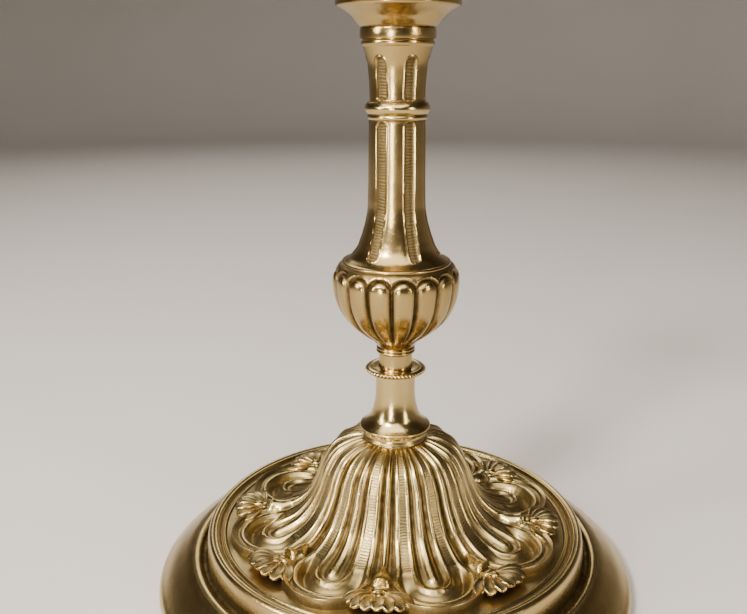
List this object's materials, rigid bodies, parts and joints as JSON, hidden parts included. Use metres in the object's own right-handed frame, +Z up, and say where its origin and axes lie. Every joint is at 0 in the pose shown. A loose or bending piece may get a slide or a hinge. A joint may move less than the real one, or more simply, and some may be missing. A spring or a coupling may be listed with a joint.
{
  "type": "candlestick",
  "caption": "Brass candlestick with a round ribbed base, gadrooned bulb, fluted shaft and a loose drip pan that takes a taper candle.",
  "frame": {"origin": "centre of the ring that the base stands on, at table height", "axes": "+Z up along the stem; azimuth 0 (the front) is -Y"},
  "size_m": [0.15, 0.15, 0.2137],
  "materials": {
    "cast_brass": "cast and chased brass, polished ridges with dark patina in the grooves",
    "turned_brass": "turned and polished brass",
    "chased_brass": "cast brass with matted flutes and polished bands",
    "nozzle_brass": "turned and polished brass",
    "pan_brass": "spun and polished brass",
    "steel": "plain steel rod, nut and washer"
  },
  "bodies": {
    "stand": {"base": "cast_brass", "base_washer": "steel", "base_nut": "steel", "tie_rod": "steel", "stem_foot": "turned_brass", "beaded_collar": "turned_brass", "bulb": "chased_brass", "shaft": "chased_brass", "knop_ring": "turned_brass", "capital": "chased_brass", "nozzle": "nozzle_brass"},
    "drip_pan": {"drip_pan": "pan_brass"}
  },
  "joints": [
    {"name": "drip_pan_lift", "type": "slide", "parent": "stand", "child": "drip_pan", "axis": [0, 0, 1], "range_m": [0, 0.03]}
  ]
}
